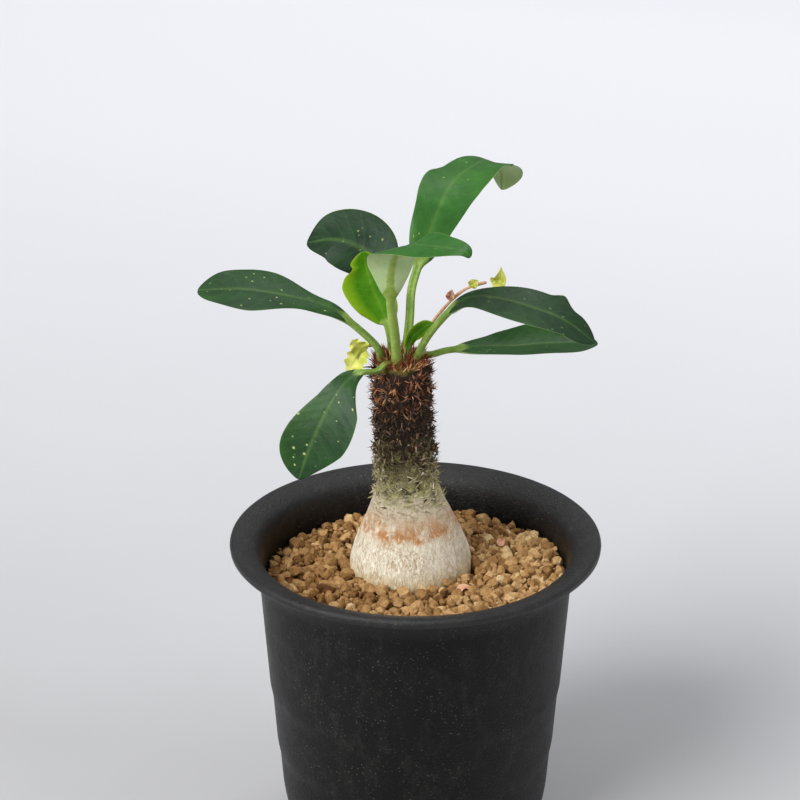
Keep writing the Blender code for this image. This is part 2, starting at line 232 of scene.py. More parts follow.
def mixOf(share, first, second, mode="MIX"):
    made = put("ShaderNodeMix", {0: share, 6: first, 7: second}, data_type="RGBA", blend_type=mode)
    return made.outputs[2]


def calc(operation, first, second=0.0):
    return put("ShaderNodeMath", {0: first, 1: second}, operation=operation).outputs[0]


def times(first, second):
    return calc("MULTIPLY", first, second)


def plus(first, second):
    return calc("ADD", first, second)


def layered(base, *layers):   # each layer: how much of it, and its colour
    for share, colour in layers:
        base = mixOf(share, base, tint(*colour) if isinstance(colour, tuple) else colour)
    return base


def swing(value, size, middle=0.5):   # a noise value as a change either way
    return times(calc("SUBTRACT", value, middle), size)


def bumpOf(height, strength, distance, normal=None):
    inputs = {"Height": height, "Strength": strength, "Distance": distance}
    if normal:
        inputs["Normal"] = normal
    return put("ShaderNodeBump", inputs).outputs["Normal"]


# tubes: a round face pulled up row by row, so each point still knows its row and its turn

def pullTube(name, sides, rows):
    selectNone()
    bpy.ops.mesh.primitive_circle_add(vertices=sides, radius=1, fill_type="NGON", location=(0, 0, 0))
    obj = rename(name)
    editAll()
    for row in range(rows):
        bpy.ops.mesh.extrude_region_move(TRANSFORM_OT_translate={"value": (0, 0, 1)})
    bpy.ops.object.mode_set(mode="OBJECT")
    return obj


def tubePlaces(obj, sides):   # row number and side number of each point of a pulled tube
    points = coords(obj)
    rows = np.rint(points[:, 2]).astype(int)
    turns = np.arctan2(points[:, 1], points[:, 0]) * sides / (2 * math.pi)
    return rows, np.rint(turns).astype(int) % sides


def turned(name, profile, sides):   # a closed turned body from (radius, height) pairs
    obj = pullTube(name, sides, len(profile) - 1)
    rows, turns = tubePlaces(obj, sides)
    radius = np.array([p[0] for p in profile])[rows]
    height = np.array([p[1] for p in profile])[rows]
    angle = 2 * math.pi * turns / sides
    setCoords(obj, np.stack([radius * np.cos(angle), radius * np.sin(angle), height], 1))
    faceOut(obj)
    return obj


def smoothPath(points, count):   # a curve through the points, read at even steps
    points = [np.array(p, dtype=float) for p in points]
    ends = [2 * points[0] - points[1]] + points + [2 * points[-1] - points[-2]]
    fine = []
    for a, b, c, d in zip(ends, ends[1:], ends[2:], ends[3:]):
        for t in np.linspace(0, 1, 20, endpoint=False):
            fine.append(0.5 * (2 * b + (c - a) * t + (2 * a - 5 * b + 4 * c - d) * t ** 2
                               + (3 * b - a - 3 * c + d) * t ** 3))
    fine = np.array(fine + [points[-1]])
    travelled = np.concatenate([[0], np.cumsum(np.linalg.norm(np.diff(fine, axis=0), axis=1))])
    steps = np.linspace(0, travelled[-1], count)
    return np.stack([np.interp(steps, travelled, fine[:, k]) for k in range(3)], 1)


def spread(values, shares):   # reads a short list as one evenly spaced line
    values = np.array(values, dtype=float)
    stations = np.linspace(0, 1, len(values))
    if values.ndim == 1:
        return np.interp(shares, stations, values)
    return np.stack([np.interp(shares, stations, values[:, k]) for k in range(values.shape[1])], 1)


# camera, floor and light

view = {
    "place": (0.0, -0.72288, 0.43807),
    "aim": (-0.00556674, 0.92074697, -0.39012054),
    "lens": 85, "sensor": 24,
}


def aim(obj, direction):
    obj.rotation_euler = Vector(direction).to_track_quat("-Z", "Y").to_euler()


def makeCamera():
    data = bpy.data.cameras.new("camera")
    data.lens = view["lens"]
    data.sensor_width = view["sensor"]
    data.clip_start = 0.01
    camera = addObject("camera", data)
    camera.location = view["place"]
    aim(camera, view["aim"])
    bpy.context.scene.camera = camera


studio = {
    "floor": (3.0, 3.0), "middle": (0, -0.4, 0),   # width and depth, and where its middle is
    "key": {"place": (-1.30, -1.05, 1.45), "towards": (0, 0, 0.11), "size": 1.5, "power": 61.0},
    "fill": {"place": (1.40, -0.50, 1.10), "towards": (0, 0, 0.11), "size": 1.2, "power": 9.0},
    "back": {"place": (0.25, 1.10, 2.00), "towards": (0.2, 1.0, 0), "size": 1.0, "power": 15.0},
    "sky": 0.34,
}


def softLight(name, values):
    data = bpy.data.lights.new(name, "AREA")
    data.shape = "DISK"
    data.size = values["size"]
    data.energy = values["power"]
    light = addObject(name, data)
    light.location = values["place"]
    aim(light, Vector(values["towards"]) - Vector(values["place"]))


def makeStudio():
    selectNone()
    bpy.ops.mesh.primitive_plane_add(size=1, location=(0, 0, 0))
    floor = rename("floor")
    floor.scale = (*studio["floor"], 1)
    floor.location = studio["middle"]
    pick(floor)
    bpy.ops.object.transform_apply(location=True, rotation=False, scale=True)
    material = newMaterial("paleFloor", Roughness=0.7)
    place = objectPlace()
    # painted shade: the floor is coloured darker towards the front and the left, standing in for light
    # falling off there
    away = plus(partOf(place, 1), times(partOf(place, 0), 0.4))
    paintedLighting = ramp(away, [(0.0, (176, 176, 178)), (0.3, (201, 202, 205)), (0.6, (222, 223, 227)),
                        (0.9, (234, 235, 240))])
    mottled = fade(noiseOf(place, 9.0, 3.0), 0.35, 0.65, 0.0, 0.05)
    wire(layered(paintedLighting, (mottled, (232, 232, 236))), "Base Color")
    floor.data.materials.append(material)

    world = bpy.data.worlds.new("studio")
    world.use_nodes = True
    bpy.context.scene.world = world
    sky = world.node_tree.nodes["Background"]
    sky.inputs["Color"].default_value = tint(243, 244, 249)
    sky.inputs["Strength"].default_value = studio["sky"]
    for name in ("key", "fill", "back"):
        softLight(name, studio[name])
    bpy.context.scene.view_settings.view_transform = "Standard"


# pot

pot = {
    "wall": 1.4 * mm, "overhang": 8.0 * mm, "taper": 0.075, "step": 0.45 * mm, "steps": (0.52, 0.29),
    "heel": 15 * mm, "heelTurn": 2.2 * mm, "recess": 2 * mm, "foot": 4 * mm, "pad": 10 * mm,
    "drain": 3 * mm, "drains": 8, "sides": 160, "lip": 9 * mm,
    # the lip's section: share of the way out from the neck, and mm below the rim
    "lipInside": [(0.01, 8.0), (0.03, 6.2), (0.07, 4.6), (0.12, 3.4), (0.17, 2.7), (0.23, 2.15), (0.30, 1.7),
                  (0.45, 0.95), (0.62, 0.35), (0.76, 0.05), (0.87, 0.02), (0.94, 0.2), (0.985, 0.6),
                  (1.0, 1.15)],
    "lipOutside": [(0.985, 2.1), (0.94, 2.55), (0.86, 2.85), (0.60, 3.3), (0.40, 3.7), (0.24, 4.4),
                   (0.12, 5.4)],
}
neckHeight = rimHeight - pot["lip"]


def wallRadius(height):
    radius = rimRadius - pot["overhang"] - pot["taper"] * (neckHeight - height)
    for share in pot["steps"]:
        radius -= pot["step"] * float(blend(-3.5 * mm, 0.5 * mm, share * neckHeight - height))
    return radius - pot["heelTurn"] * max(0.0, 1 - height / pot["heel"]) ** 2


def innerRadius(height):
    return wallRadius(height) - pot["wall"]


def potProfile():
    floor = pot["recess"] + pot["wall"]
    heights = list(np.linspace(floor + 2 * mm, neckHeight - 2 * mm, 34))
    profile = [(pot["pad"] / 2, floor), (innerRadius(floor) - 2.4 * mm, floor),
               (innerRadius(floor) - 0.9 * mm, floor + 0.6 * mm)]
    profile += [(innerRadius(h), h) for h in heights]
    neckIn, neckOut = innerRadius(neckHeight), wallRadius(neckHeight)
    for neck, lip in ((neckIn, pot["lipInside"]), (neckOut, pot["lipOutside"])):
        profile += [(neck + across * (rimRadius - neck), rimHeight - down * mm) for across, down in lip]
    profile += [(wallRadius(h), h) for h in reversed(heights)]
    foot = wallRadius(0)
    profile += [(foot + 0.3 * mm, 2.0 * mm), (foot + 0.1 * mm, 0.9 * mm), (foot - 0.35 * mm, 0.25 * mm),
                (foot - 0.9 * mm, 0), (foot - pot["foot"] + 0.3 * mm, 0), (foot - pot["foot"], 0.3 * mm),
                (foot - pot["foot"] - 0.6 * mm, pot["recess"]), (pot["pad"] + 0.9 * mm, pot["recess"]),
                (pot["pad"] + 0.3 * mm, 0.3 * mm), (pot["pad"], 0)]
    return profile


def potPlastic():
    material = newMaterial("potPlastic")
    place = objectPlace()
    # the handled lip is glossier, and its colour is painted a little lighter there: a painted highlight
    lipward = fade(times(partOf(place, 2), 1 / rimHeight), 0.88, 0.97)
    wire(fade(lipward, 0.0, 1.0, 0.2, 0.46), "Specular IOR Level")
    cloudy = noiseOf(place, 70, 6, 0.65)
    body = ramp(cloudy, [(0.3, (5, 5, 5)), (0.72, (12, 11, 10))])
    dust = times(fade(cellsOf(place, 900), 0.10, 0.20, 1.0, 0.0), fade(noiseOf(place, 90, 5, 0.7), 0.42, 0.6))
    bigSpots = fade(cellsOf(place, 330), 0.04, 0.07, 1.0, 0.0)
    scuffs = fade(noiseOf(objectPlace((1, 1, 0.5)), 240, 8, 0.8), 0.50, 0.76, 0.0, 0.4)
    wire(layered(body, (times(lipward, 0.2), (34, 34, 36)), (scuffs, (64, 61, 56)),
                 (times(dust, 0.65), (104, 100, 94)), (times(bigSpots, 0.45), (120, 116, 108))), "Base Color")
    wire(fade(cloudy, 0.25, 0.75, 0.34, 0.5), "Roughness")
    wavy = bumpOf(noiseOf(place, 60, 2), 0.2, 0.001)
    wire(bumpOf(noiseOf(place, 1300, 4, 0.7), 0.9, 0.0004, wavy), "Normal")
    return material


def makePot():
    body = turned("potShell", potProfile(), pot["sides"])
    ring = (pot["pad"] + wallRadius(0) - pot["foot"]) / 2
    for index in range(pot["drains"]):
        angle = 2 * math.pi * (index + 0.5) / pot["drains"]
        selectNone()
        place = (ring * math.cos(angle), ring * math.sin(angle), pot["recess"])
        bpy.ops.mesh.primitive_cylinder_add(vertices=32, radius=pot["drain"], depth=12 * mm, location=place)
        cutter = rename("drainCutter")
        cut = body.modifiers.new("drain", "BOOLEAN")
        cut.object = cutter
        cut.solver = "EXACT"
        applyAll(body)
        bpy.data.objects.remove(cutter, do_unlink=True)
    finishPiece(body, potPlastic(), "pot", "pot", smoothBelow=35)


# soil: a packed bed and loose grains on it

grit = {
    "seed": 11, "cell": 0.45 * mm, "bed": 3.6 * mm, "slope": 1.3 * mm, "mound": 0.7 * mm,
    "kinds": 14, "strikes": 11, "spacing": 0.86, "drawn": 1.12,   # stones are drawn larger than their balls
    "grains": 1700, "sizes": (1.1 * mm, 2.3 * mm), "grainDrop": (5, 0.5, 1.1 * mm),
    "crumbs": 1100, "crumbSizes": (0.4 * mm, 0.85 * mm), "crumbDrop": (1, 0.9, 1.0 * mm),
    "moves": 14, "directions": 8, "paintedLighting": 0.03 / (10 * mm),   # painted light: grains are coloured lighter towards the right, where more light falls
}
stemFoot = Vector((-0.0014, 0.0060, soilLevel))
stem = {
    "lean": -2.6 * mm, "radius": 8.9 * mm, "caudex": 17.3 * mm, "caudexHeight": 28.5 * mm,
    "depth": 20 * mm, "root": 3 * mm, "rootLength": 18 * mm, "sides": 144, "rows": 150,
    # mm past the crown, and share of the radius there
    "dome": [(-0.6, 0.95), (0.2, 0.86), (1.0, 0.72), (1.7, 0.54), (2.3, 0.32), (2.6, 0.1)],
}


def soilSurface(x, y):
    across = np.minimum(1.0, np.hypot(x, y) / innerRadius(soilLevel))
    return soilLevel + grit["slope"] * x / innerRadius(soilLevel) + grit["mound"] * (1 - across ** 2)


def stemRadius(height):
    above = np.asarray(height, dtype=float) - soilLevel
    swollen = blend(0, 1, 1 - above / stem["caudexHeight"])
    upper = stem["radius"] + (stem["caudex"] - stem["radius"]) * swollen
    drop = np.clip(-above / stem["depth"], 0, 1)
    lower = stem["root"] + (stem["caudex"] - stem["root"]) * np.sqrt(1 - drop ** 2)
    return np.where(above >= 0, upper, lower)


def stemCentre(height):
    share = blend(soilLevel, crownHeight, height)
    return stemFoot.x + stem["lean"] * share


def soilFinish():
    material = newMaterial("gritGrain", Roughness=0.95, Specular_IOR_Level=0.15)
    place = objectPlace()
    shade = plus(attribute("tone"), swing(noiseOf(place, 520, 6, 0.7), 0.9))
    colour = ramp(shade, [(0.0, (88, 56, 28)), (0.25, (136, 98, 56)), (0.5, (172, 132, 84)),
                          (0.75, (200, 161, 110)), (1.0, (226, 198, 152))])
    # painted shade: dark spots multiplied into the colour stand in for shade in small pits
    paintedPitShade = fade(cellsOf(place, 1700), 0.0, 0.45, 0.35, 1.0)
    wire(mixOf(0.7, colour, paintedPitShade, "MULTIPLY"), "Base Color")
    coarse = bumpOf(noiseOf(place, 420, 3), 0.8, 0.0012)
    wire(bumpOf(noiseOf(place, 1100, 8, 0.75), 0.9, 0.0007, coarse), "Normal")
    return material


def bedFinish():
    material = newMaterial("gritBed", Roughness=0.95, Specular_IOR_Level=0.2)
    lumps = cellsOf(objectPlace(), 380)
    # painted shade: each lump is lighter in its middle and darker towards its edges, standing in for shade in
    # the gaps between lumps
    wire(ramp(lumps, [(0.0, (148, 112, 70)), (0.5, (96, 68, 40)), (0.9, (40, 27, 16))]), "Base Color")
    wire(bumpOf(lumps, 0.9, -0.0015), "Normal")
    return material


def makeBed():
    floor = soilBox[0][2]
    top = soilLevel - grit["bed"]
    profile = [(4 * mm, floor), (innerRadius(floor) - 2.5 * mm, floor)]
    profile += [(innerRadius(h) - 0.3 * mm, h) for h in np.linspace(floor + 2.3 * mm, top - 1 * mm, 16)]
    profile += [(innerRadius(top) * share, top) for share in (0.985, 0.85, 0.7, 0.5, 0.3, 0.1)]
    bed = turned("soilBed", profile, 96)
    points = coords(bed)
    high = points[:, 2] > top - 0.1 * mm
    points[high, 2] += roughField(points[high], 260, 4.0) * 0.7 * mm
    setCoords(bed, points)
    finishPiece(bed, bedFinish(), "soil", "soil")


def makeGrainKinds(generator):   # a few broken-stone shapes: a ball struck flat from several sides
    kinds = []
    for kind in range(grit["kinds"]):
        selectNone()
        bpy.ops.mesh.primitive_ico_sphere_add(subdivisions=2, radius=1, location=(0, 0, 0))
        obj = rename("grainKind")
        points = coords(obj)
        for strike in range(grit["strikes"]):
            direction = unit(generator.normal(size=3))
            depth = generator.uniform(0.48, 0.86)
            over = points @ direction - depth
            points -= np.outer(np.clip(over, 0, None), direction)
        points *= generator.uniform(0.75, 1.3, 3)
        points += generator.normal(scale=0.045, size=points.shape)
        points *= 1.0 / np.mean(np.linalg.norm(points, axis=1))
        faces = [tuple(p.vertices) for p in obj.data.polygons]
        kinds.append((points, faces))
        bpy.data.objects.remove(obj, do_unlink=True)
    return kinds


def restHeight(heights, lowest, x, y, radius):   # where a ball dropped at x, y comes to rest
    cell = grit["cell"]
    reach = int(radius / cell) + 1
    column, row = int(round((x - lowest) / cell)), int(round((y - lowest) / cell))
    columns = np.arange(column - reach, column + reach + 1)
    rows = np.arange(row - reach, row + reach + 1)
    dx = columns * cell + lowest - x
    dy = rows * cell + lowest - y
    inside = radius ** 2 - dx[:, None] ** 2 - dy[None, :] ** 2
    patch = heights[columns[0]:columns[-1] + 1, rows[0]:rows[-1] + 1]
    rise = np.where(inside > 0, np.sqrt(np.maximum(inside, 0)), -1.0)
    return float(np.max(np.where(inside > 0, patch + rise, -1.0))), (columns, rows, rise, inside > 0)


def allowed(x, y, radius, height):
    if math.hypot(x, y) > innerRadius(soilLevel) - radius * 0.95:
        return False
    reach = float(stemRadius(max(height, soilLevel - 6 * mm))) + radius * 0.8
    return math.hypot(x - stemFoot.x, y - stemFoot.y) > reach


def settle(generator):   # drops the grains one by one; each rolls to the lowest place near it
    edge = innerRadius(soilLevel) + 4 * mm
    count = int(2 * edge / grit["cell"]) + 1
    heights = np.full((count, count), soilLevel - grit["bed"])
    placed = []

    def drop(radius, tries, roll, limit):   # limit: how far above the surface it may stay
        best = None
        for attempt in range(tries):
            turn = generator.uniform(0, 2 * math.pi)
            far = innerRadius(soilLevel) * math.sqrt(generator.uniform(0.05, 1))
            x, y = far * math.cos(turn), far * math.sin(turn)
            if not allowed(x, y, radius, soilLevel):
                continue
            rest = restHeight(heights, -edge, x, y, radius)[0]
            if best is None or rest - soilSurface(x, y) < best[0] - soilSurface(best[1], best[2]):
                best = (rest, x, y)
        if best is None:
            return
        rest, x, y = best
        step = radius * roll
        for move in range(grit["moves"]):
            options = []
            for k in range(grit["directions"]):
                way = 2 * math.pi * k / grit["directions"]
                nx, ny = x + step * math.cos(way), y + step * math.sin(way)
                if allowed(nx, ny, radius, rest):
                    options.append((restHeight(heights, -edge, nx, ny, radius)[0], nx, ny))
            if not options or min(options)[0] >= rest - 0.01 * mm:
                step *= 0.5
                if step < radius * 0.08:
                    break
                continue
            rest, x, y = min(options)
        if rest + radius * 0.4 > soilSurface(x, y) + limit:
            return
        rest, (columns, rows, rise, inside) = restHeight(heights, -edge, x, y, radius)
        patch = heights[columns[0]:columns[-1] + 1, rows[0]:rows[-1] + 1]
        patch[inside] = np.maximum(patch, rest + rise)[inside]
        placed.append((x, y, rest, radius))

    for grain in range(grit["grains"]):
        drop(generator.uniform(*grit["sizes"]) * grit["spacing"], *grit["grainDrop"])
    for crumb in range(grit["crumbs"]):
        drop(generator.uniform(*grit["crumbSizes"]), *grit["crumbDrop"])
    return placed


def makeGrains():
    generator = np.random.default_rng(grit["seed"])
    kinds = makeGrainKinds(generator)
    placed = settle(generator)
    print("grains settled:", len(placed))
    points, faces, tones = [], [], []
    start = 0
    for x, y, z, radius in placed:
        shape, shapeFaces = kinds[int(generator.integers(len(kinds)))]
        turn, axis = generator.uniform(0, 2 * math.pi), unit(generator.normal(size=3))
        cosine, sine = math.cos(turn), math.sin(turn)
        spun = shape * cosine + np.cross(axis, shape) * sine + np.outer(shape @ axis, axis) * (1 - cosine)
        points.append(spun * radius * grit["drawn"] + (x, y, z))
        faces += [tuple(v + start for v in face) for face in shapeFaces]
        start += len(shape)
        # the tone carries painted light, rising towards the right
        tones += [float(np.clip(generator.normal(0.5 + grit["paintedLighting"] * x, 0.17), 0, 1))] * len(shape)
    grains = meshFrom("soilGrains", np.concatenate(points).tolist(), faces)
    setAttribute(grains, "tone", tones)
    finishPiece(grains, soilFinish(), "soil", smoothBelow=24)
    return placed


# stem

bark = {
    "seed": 5, "swell": 0.5 * mm, "ridge": 0.22, "wrinkle": 0.12,
    "knobsFrom": 22 * mm, "knobStep": 0.44 * mm, "knobTurn": 137.5, "knobWide": 2.4 * mm,
    "knobHigh": 1.9 * mm, "knobRise": 1.1, "knobSink": 1.5,
}


def stemFinish():
    material = newMaterial("stemBark", Roughness=0.82, Specular_IOR_Level=0.25)
    place = objectPlace()
    height = attribute("rise")   # 0 at the soil, 1 at the crown
    level = plus(height, swing(noiseOf(place, 110, 6, 0.65), 0.14))
    bands = ramp(level, [
        (0.0, (218, 200, 152)), (0.09, (250, 243, 224)), (0.22, (250, 240, 216)), (0.30, (232, 214, 186)),
        (0.37, (222, 210, 182)), (0.42, (198, 188, 148)), (0.50, (146, 138, 98)), (0.57, (72, 60, 42)),
        (0.68, (34, 25, 19)), (0.985, (36, 20, 15)), (1.0, (120, 116, 44))])
    # rust in a broken ring where the old soil line was
    rustPlace = ramp(level, [(0.18, 0.0), (0.215, 1.0), (0.26, 0.75), (0.32, 0.0)])
    rust = times(rustPlace, plus(times(fade(noiseOf(place, 190, 6, 0.7), 0.44, 0.56), 0.8), 0.14))
    # fine wandering wrinkles, drawn out upwards, with a painted shade and a painted highlight following them
    crinkled = objectPlace((1, 1, 0.42))
    wrinkles = noiseOf(crinkled, 760, 7, 0.72, 1.6)
    lowPart = fade(height, 0.34, 0.5, 1.0, 0.25)
    cracks = times(fade(cellsOf(crinkled, 620, "DISTANCE_TO_EDGE"), 0.0, 0.09, 1.0, 0.0), lowPart)
    paintedWrinkleShade = times(fade(wrinkles, 0.46, 0.66, 0.0, 0.8), lowPart)
    paintedWrinkleHighlight = times(fade(wrinkles, 0.30, 0.44, 0.85, 0.0), lowPart)
    fibres = noiseOf(objectPlace((1, 1, 0.2)), 820, 6, 0.75, 2.6)
    fibreHere = times(fade(height, 0.24, 0.34, 1.0, 0.0), fade(noiseOf(place, 75, 3), 0.42, 0.60, 0.25, 0.9))
    fibreLines = times(fade(fibres, 0.48, 0.58), fibreHere)
    rings = noiseOf(objectPlace((0.3, 0.3, 1.5)), 620, 5, 0.7, 1.8)
    ringLines = times(fade(rings, 0.52, 0.62, 0.0, 0.7),
                      ramp(height, [(0.27, 0.0), (0.33, 1.0), (0.46, 0.6), (0.56, 0.0)]))
    lichen = times(fade(noiseOf(place, 380, 6, 0.7, 0.8), 0.5, 0.58),
                   ramp(height, [(0.33, 0.0), (0.40, 0.9), (0.58, 0.8), (0.68, 0.0)]))
    dark = times(fade(noiseOf(place, 300, 5, 0.7), 0.54, 0.60),
                 ramp(height, [(0.35, 0.0), (0.42, 0.85), (0.56, 0.9), (0.62, 0.0)]))
    wire(layered(bands, (rust, (200, 124, 46)), (times(fibreLines, 0.85), (182, 142, 84)),
                 (ringLines, (132, 112, 86)), (times(paintedWrinkleShade, 0.5), (140, 112, 80)), (paintedWrinkleHighlight, (244, 236, 218)),
                 (times(cracks, 0.16), (150, 118, 84)), (lichen, (186, 184, 118)), (dark, (44, 38, 30))),
         "Base Color")
    wrinkled = bumpOf(plus(fibreLines, ringLines), 0.5, -0.0005, bumpOf(wrinkles, 0.7, 0.0007))
    wire(bumpOf(noiseOf(place, 1800, 5, 0.75), 0.4, 0.0003, wrinkled), "Normal")
    return material


def makeStem():
    rows, sides = stem["rows"], stem["sides"]
    body = pullTube("stemBody", sides, rows)
    row, turn = tubePlaces(body, sides)
    shoulder = soilLevel - stem["depth"]   # where the root begins
    lowest = shoulder - stem["rootLength"]
    dome = np.array(stem["dome"])
    heights = np.concatenate([np.linspace(lowest, shoulder, 8)[:-1],
                              soilLevel - stem["depth"] * np.cos(np.linspace(0.05, math.pi / 2, 12))[:-1],
                              np.linspace(soilLevel, crownHeight - 1.4 * mm, rows - 23),
                              crownHeight + mm * dome[:, 0]])
    rootRadii = stem["root"] * (0.4 + 0.6 * (heights - lowest) / stem["rootLength"])
    radii = np.where(heights < shoulder, rootRadii, stemRadius(heights))
    radii[-len(dome):] = stem["radius"] * dome[:, 1]
    angle = 2 * math.pi * turn / sides
    cosine, sine = np.cos(angle), np.sin(angle)
    height, radius = heights[row], radii[row]
    above = height - soilLevel
    swell = roughField(np.stack([cosine, sine, 0.6 * height / (30 * mm)], 1), 1.3, 2.0) * bark["swell"]
    swell *= blend(-6 * mm, 4 * mm, above)
    # tubercles in a spiral on the shaft, flattening out down the swollen base
    knobs = np.zeros(len(height))
    for knobHeight, knobTurn in knobPlaces():
        around = (angle - knobTurn + math.pi) % (2 * math.pi) - math.pi
        away = np.hypot(around * stem["radius"] / bark["knobWide"], (height - knobHeight) / bark["knobHigh"])
        knobs = np.maximum(knobs, np.exp(-away ** 2 * 1.1))
    ridges = roughField(np.stack([cosine * 9, sine * 9, height * 130], 1), 2.2, 7.0) * bark["ridge"]
    wrinkles = roughField(np.stack([cosine * 20, sine * 20, height * 190], 1), 1.5, 9.0) * bark["wrinkle"]
    shaft = blend(20 * mm, 34 * mm, above)
    radius = radius + swell + shaft * (knobs * bark["knobRise"] - bark["knobSink"]) * mm
    radius = radius + (1 - shaft) * (ridges + wrinkles) * mm
    setCoords(body, np.stack([stemCentre(height) + radius * cosine, stemFoot.y + radius * sine, height], 1))
    faceOut(body)
    setAttribute(body, "rise", np.clip(above / (crownHeight - soilLevel), -0.2, 1))
    finishPiece(body, stemFinish(), "stem", "stem", smoothBelow=80)


def knobPlaces():   # height and turn of each old leaf base on the shaft
    places = []
    generator = random.Random(bark["seed"])
    turn, height = 0.0, soilLevel + bark["knobsFrom"]
    while height < crownHeight - 0.8 * mm:
        places.append((height + generator.uniform(-0.3, 0.3) * mm, turn + generator.uniform(-0.08, 0.08)))
        turn += math.radians(bark["knobTurn"])
        height += bark["knobStep"]
    return places


# how many, and the least and most length and width in mm
bristle = {
    "seed": 21, "sides": ((1, 0), (0, 0.35), (-1, 0), (0, -0.35)),
    "rings": ((0.0, 1.0), (0.35, 0.85), (0.7, 0.5)),
    "tufts": (26, (1.3, 2.8), (0.4, 1.0)), "flakes": (620, (1.2, 2.8), (0.3, 0.8)),
    "loose": (520, (1.6, 3.2), (0.22, 0.42)), "hairs": (760, (1.5, 3.9), (0.16, 0.5)),
}


def bristleFinish():
    material = newMaterial("bristle", Roughness=0.75, Specular_IOR_Level=0.25)
    rise = attribute("rise")
    shade = plus(attribute("tone"), swing(noiseOf(objectPlace(), 700, 4), 0.5))
    top = ramp(shade, [(0.15, (36, 15, 12)), (0.40, (100, 52, 34)), (0.64, (160, 100, 66)),
                       (1.0, (212, 162, 118))])
    brown = ramp(shade, [(0.2, (16, 11, 9)), (0.48, (46, 32, 24)), (0.72, (112, 88, 66)),
                         (1.0, (190, 168, 136))])
    grey = ramp(shade, [(0.15, (46, 40, 30)), (0.32, (122, 114, 76)), (0.56, (198, 190, 134)),
                        (1.0, (240, 234, 204))])
    upper = mixOf(fade(rise, 0.70, 0.88), brown, top)
    wire(layered(grey, (fade(rise, 0.46, 0.60), upper), (times(attribute("tipward"), 0.28), (150, 118, 92))),
         "Base Color")
    return material


def hairFinish():
    material = newMaterial("crownHair", Roughness=0.6, Specular_IOR_Level=0.3)
    wire(ramp(attribute("tone"), [(0.0, (84, 30, 18)), (0.45, (150, 72, 42)), (0.75, (190, 130, 84)),
                                  (1.0, (222, 196, 150))]), "Base Color")
    return material


def bristleShape(root, out, up, length, width, bend):   # four thin sides closing to a point
    side = unit(np.cross(out, up))
    points, tips = [], []
    for share, wide in bristle["rings"]:
        centre = root + out * length * share + up * bend * share ** 2
        for a, b in bristle["sides"]:
            points.append(centre + side * a * width * wide / 2 + up * b * width * wide / 2)
            tips.append(share)
    points.append(root + out * length + up * bend)
    tips.append(1.0)
    faces = [(3, 2, 1, 0)]
    for ring in (0, 4):
        faces += [(ring + k, ring + (k + 1) % 4, ring + 4 + (k + 1) % 4, ring + 4 + k) for k in range(4)]
    faces += [(8 + k, 8 + (k + 1) % 4, 12) for k in range(4)]
    return points, faces, tips


def bristleMesh(name, material, parts):   # parts: the shape, tone and rise of each bristle
    points, faces, tones, rises, tipwards = [], [], [], [], []
    for (shape, shapeFaces, tips), tone, rise in parts:
        faces += [tuple(v + len(points) for v in face) for face in shapeFaces]
        points += [tuple(p) for p in shape]
        tones += [tone] * len(shape)
        rises += [rise] * len(shape)
        tipwards += tips
    tuft = meshFrom(name, points, faces)
    faceOut(tuft)
    setAttribute(tuft, "tone", tones)
    setAttribute(tuft, "rise", rises)
    setAttribute(tuft, "tipward", tipwards)
    finishPiece(tuft, material, "stem", smoothBelow=50)
    print(name, len(parts))


